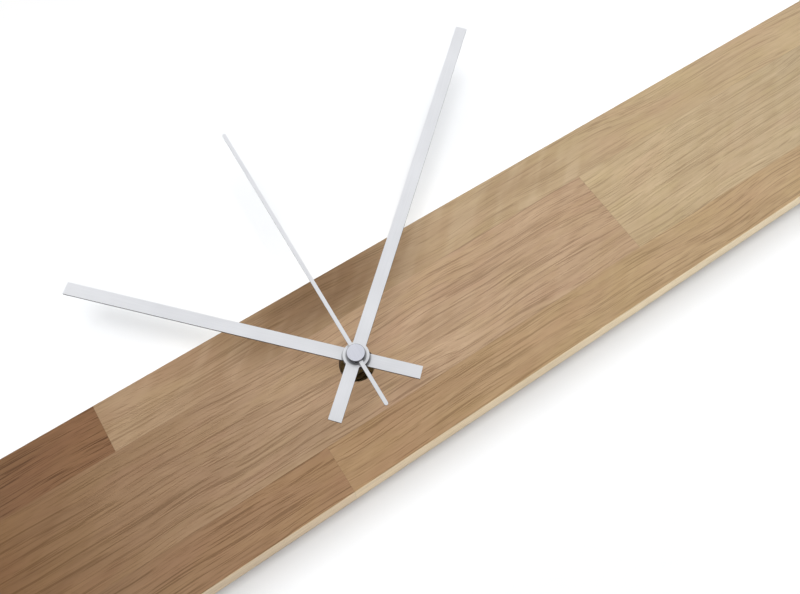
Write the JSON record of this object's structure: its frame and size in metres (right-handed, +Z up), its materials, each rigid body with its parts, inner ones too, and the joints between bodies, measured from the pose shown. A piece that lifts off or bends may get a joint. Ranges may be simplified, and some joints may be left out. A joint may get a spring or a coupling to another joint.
{
  "type": "wall clock",
  "caption": "Long narrow wall clock of stave-glued oak with plain straight hands, a quartz movement let into its back and keyhole hangers.",
  "frame": {"origin": "on the wall plane, on the axis of the hands, midway between the keyhole entry holes", "axes": "+X along the plank to the right as seen from the room, +Y into the wall, +Z up towards twelve"},
  "size_m": [0.7, 0.0366, 0.1511],
  "materials": {
    "oak": "oiled oak with open grain",
    "hand_aluminium": "pale satin anodised",
    "brass": "turned, dulled",
    "hanger_steel": "zinc plated",
    "screw_steel": "zinc plated",
    "case_plastic": "fine moulded texture",
    "plate_plastic": "moulded",
    "wheel_plastic": "moulded acetal",
    "knob_plastic": "moulded",
    "rubber": "soft sheet",
    "magnet": "sintered",
    "core_steel": "stamped sheet",
    "copper": "enamelled copper wire",
    "board": "lacquered",
    "chip_resin": "cured resin",
    "can_metal": "plated can",
    "contact_steel": "nickel plated spring steel",
    "cell_jacket": "plain wrapped jacket"
  },
  "bodies": {
    "plank": {"oak_stave_top_1": "oak", "oak_stave_top_2": "oak", "oak_stave_middle_1": "oak", "oak_stave_middle_2": "oak", "oak_stave_middle_3": "oak", "oak_stave_bottom_1": "oak", "oak_stave_bottom_2": "oak", "hanger_plate_left": "hanger_steel", "hanger_plate_right": "hanger_steel", "hanger_screws": "screw_steel", "movement_front_cover": "case_plastic", "movement_rear_case": "case_plastic", "middle_plate": "plate_plastic", "threaded_bush": "brass", "movement_gasket": "rubber", "shaft_washer": "brass", "shaft_nut": "brass", "stator": "core_steel", "coil_core": "core_steel", "coil_bobbin": "plate_plastic", "coil_winding": "copper", "circuit_board": "board", "driver_chip": "chip_resin", "quartz_crystal": "can_metal", "positive_contact": "contact_steel", "negative_contact": "contact_steel", "battery_cell": "cell_jacket"},
    "second_train": {"second_wheel": "wheel_plastic", "second_hand": "hand_aluminium", "second_hand_tube": "brass", "second_hand_cap": "hand_aluminium"},
    "minute_train": {"minute_wheel": "wheel_plastic", "minute_hand": "hand_aluminium", "minute_hand_collet": "hand_aluminium"},
    "hour_train": {"hour_wheel": "wheel_plastic", "hour_hand": "hand_aluminium", "hour_hand_collet": "hand_aluminium"},
    "third_train": {"third_wheel": "wheel_plastic"},
    "minute_work": {"minute_work_wheel": "wheel_plastic"},
    "intermediate_train": {"intermediate_wheel": "wheel_plastic"},
    "rotor": {"rotor_pinion": "wheel_plastic", "rotor_magnet": "magnet"},
    "setting": {"setting_pinion": "wheel_plastic", "setting_knob": "knob_plastic"}
  },
  "joints": [
    {"name": "second_hand_turn", "type": "hinge", "parent": "plank", "child": "second_train", "pos_m": [0, 0, 0], "axis": [0, 1, 0], "continuous": true},
    {"name": "minute_hand_turn", "type": "hinge", "parent": "plank", "child": "minute_train", "pos_m": [0, 0, 0], "axis": [0, 1, 0], "continuous": true},
    {"name": "hour_hand_turn", "type": "hinge", "parent": "plank", "child": "hour_train", "pos_m": [0, 0, 0], "axis": [0, 1, 0], "continuous": true},
    {"name": "third_wheel_turn", "type": "hinge", "parent": "plank", "child": "third_train", "pos_m": [-0.00953, 0, 0.0055], "axis": [0, 1, 0], "continuous": true},
    {"name": "minute_work_turn", "type": "hinge", "parent": "plank", "child": "minute_work", "pos_m": [0.00693, 0, 0.004], "axis": [0, 1, 0], "continuous": true},
    {"name": "intermediate_wheel_turn", "type": "hinge", "parent": "plank", "child": "intermediate_train", "pos_m": [0.00186, 0, 0.00695], "axis": [0, 1, 0], "continuous": true},
    {"name": "rotor_turn", "type": "hinge", "parent": "plank", "child": "rotor", "pos_m": [0.00308, 0, 0.01385], "axis": [0, 1, 0], "continuous": true},
    {"name": "setting_knob_turn", "type": "hinge", "parent": "plank", "child": "setting", "pos_m": [0.01454, 0, 0.00647], "axis": [0, 1, 0], "continuous": true}
  ],
  "couplings": [
    {"joint": "third_wheel_turn", "follows": "second_hand_turn", "ratio": -0.125},
    {"joint": "minute_hand_turn", "follows": "second_hand_turn", "ratio": 0.016667},
    {"joint": "minute_work_turn", "follows": "second_hand_turn", "ratio": -0.0055556},
    {"joint": "hour_hand_turn", "follows": "second_hand_turn", "ratio": 0.0013889},
    {"joint": "setting_knob_turn", "follows": "second_hand_turn", "ratio": 0.016667},
    {"joint": "intermediate_wheel_turn", "follows": "second_hand_turn", "ratio": -5},
    {"joint": "rotor_turn", "follows": "second_hand_turn", "ratio": 30}
  ]
}
